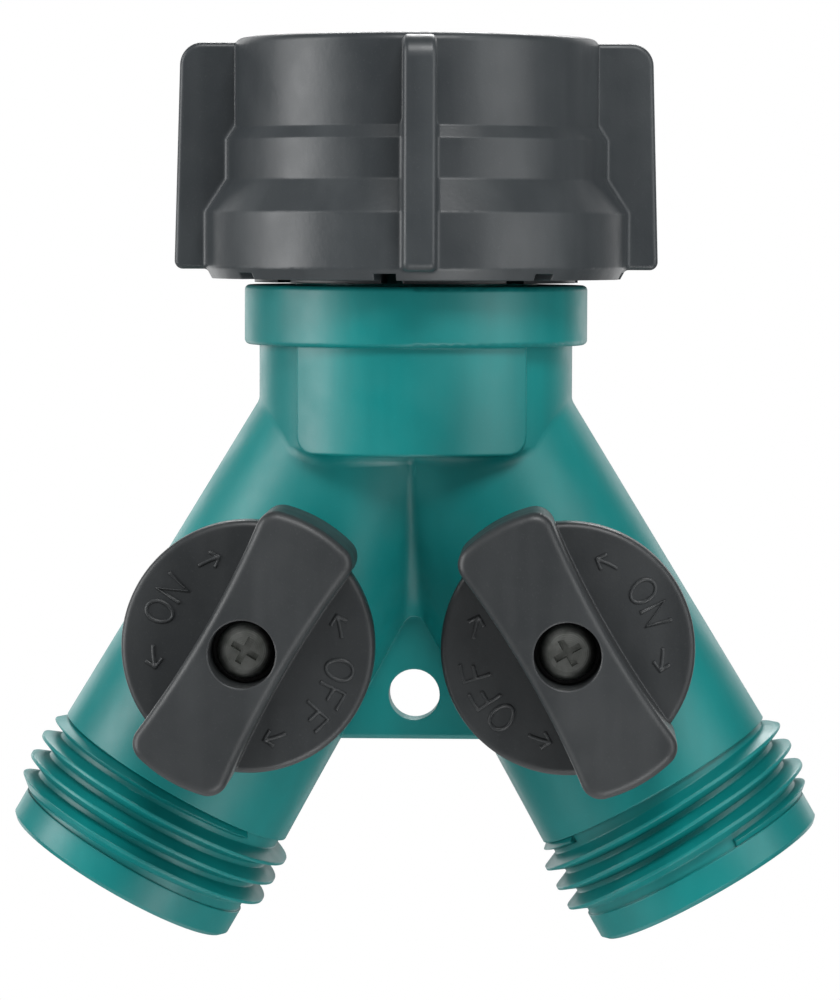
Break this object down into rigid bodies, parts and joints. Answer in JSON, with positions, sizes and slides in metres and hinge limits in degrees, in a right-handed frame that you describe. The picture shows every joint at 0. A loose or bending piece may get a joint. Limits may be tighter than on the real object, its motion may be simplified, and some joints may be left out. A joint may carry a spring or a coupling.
{
  "type": "hose splitter",
  "caption": "Y-shaped garden-hose splitter: a winged swivel nut over a one-piece body whose two legs end in male hose threads, each leg with a quarter-turn ball valve and bar handle.",
  "frame": {"origin": "centre of the swivel nut's mouth, on the inlet axis, in the plane of the nut's top rim", "axes": "+Z out of the nut's mouth towards the tap; the legs point down and to -X (left) and +X (right); the valve handles face -Y"},
  "size_m": [0.0788, 0.0506, 0.088],
  "materials": {
    "nut_plastic": "satin moulded, dark grey",
    "body_plastic": "semi-gloss moulded, teal",
    "handle_plastic": "matt moulded, dark grey",
    "screw_steel": "dull zinc-plated steel",
    "washer_rubber": "matt black",
    "ring_rubber": "matt black, greased",
    "ball_plastic": "smooth white acetal",
    "seat_plastic": "smooth off-white",
    "sleeve_plastic": "matt moulded, dark grey",
    "stem_plastic": "smooth light grey acetal"
  },
  "bodies": {
    "body": {"y_body": "body_plastic", "left_inner_seat": "seat_plastic", "left_outer_seat": "seat_plastic", "left_seat_retainer": "sleeve_plastic", "left_retainer_o_ring": "ring_rubber", "left_thrust_washer": "seat_plastic", "right_inner_seat": "seat_plastic", "right_outer_seat": "seat_plastic", "right_seat_retainer": "sleeve_plastic", "right_retainer_o_ring": "ring_rubber", "right_thrust_washer": "seat_plastic"},
    "swivel": {"swivel_nut": "nut_plastic", "inlet_washer": "washer_rubber"},
    "left_valve": {"left_valve_handle": "handle_plastic", "left_handle_screw": "screw_steel", "left_valve_stem": "stem_plastic", "left_stem_o_rings": "ring_rubber", "left_valve_ball": "ball_plastic"},
    "right_valve": {"right_valve_handle": "handle_plastic", "right_handle_screw": "screw_steel", "right_valve_stem": "stem_plastic", "right_stem_o_rings": "ring_rubber", "right_valve_ball": "ball_plastic"}
  },
  "joints": [
    {"name": "nut_swivel", "type": "hinge", "parent": "body", "child": "swivel", "pos_m": [0, 0, -0.0178], "axis": [0, 0, 1], "continuous": true},
    {"name": "left_valve_turn", "type": "hinge", "parent": "body", "child": "left_valve", "pos_m": [-0.01505, 0, -0.05777], "axis": [0, 1, 0], "range_deg": [0, 90]},
    {"name": "right_valve_turn", "type": "hinge", "parent": "body", "child": "right_valve", "pos_m": [0.01505, 0, -0.05777], "axis": [0, 1, 0], "range_deg": [0, 90]}
  ]
}
